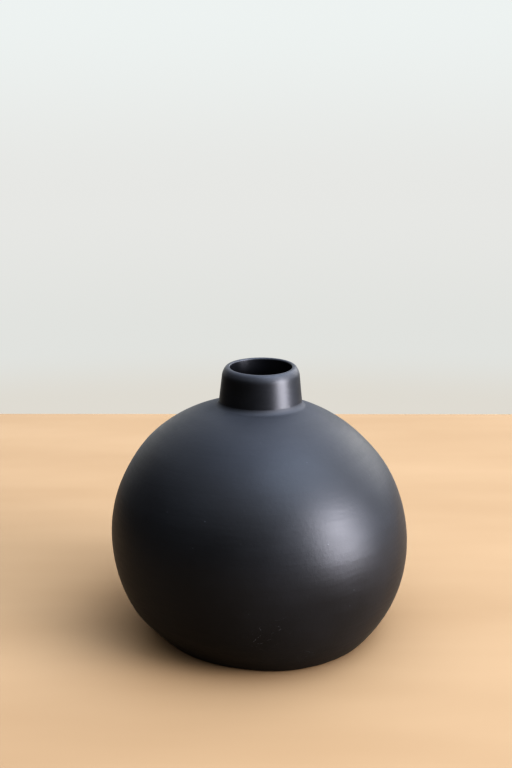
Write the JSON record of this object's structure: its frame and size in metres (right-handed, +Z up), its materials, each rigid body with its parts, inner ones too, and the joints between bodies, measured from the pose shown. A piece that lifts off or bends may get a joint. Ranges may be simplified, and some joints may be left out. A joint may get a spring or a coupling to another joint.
{
  "type": "bud vase",
  "caption": "Globe-shaped stoneware bud vase with a wide flat foot, a short tapering neck and a rolled lip.",
  "frame": {"origin": "centre of the foot, on the surface that the vase stands on", "axes": "+Z up along the axis of the vase, towards the mouth; the vase is round, so +X and +Y are free"},
  "size_m": [0.12, 0.12, 0.1095],
  "materials": {
    "bare_clay": "unglazed dark stoneware, dry and slightly gritty",
    "matte_glaze": "matte black glaze with faint specks, chalky scuffs and a trace of dust round the neck",
    "satin_glaze": "satin black glaze, a little smoother than on the globe",
    "gloss_glaze": "smooth black liner glaze"
  },
  "bodies": {
    "root": {"lower_bowl": "bare_clay", "upper_dome": "bare_clay", "neck_collar": "bare_clay", "neck_coil": "bare_clay", "body_glaze": "matte_glaze", "neck_glaze": "satin_glaze", "liner_glaze": "gloss_glaze"}
  },
  "joints": []
}
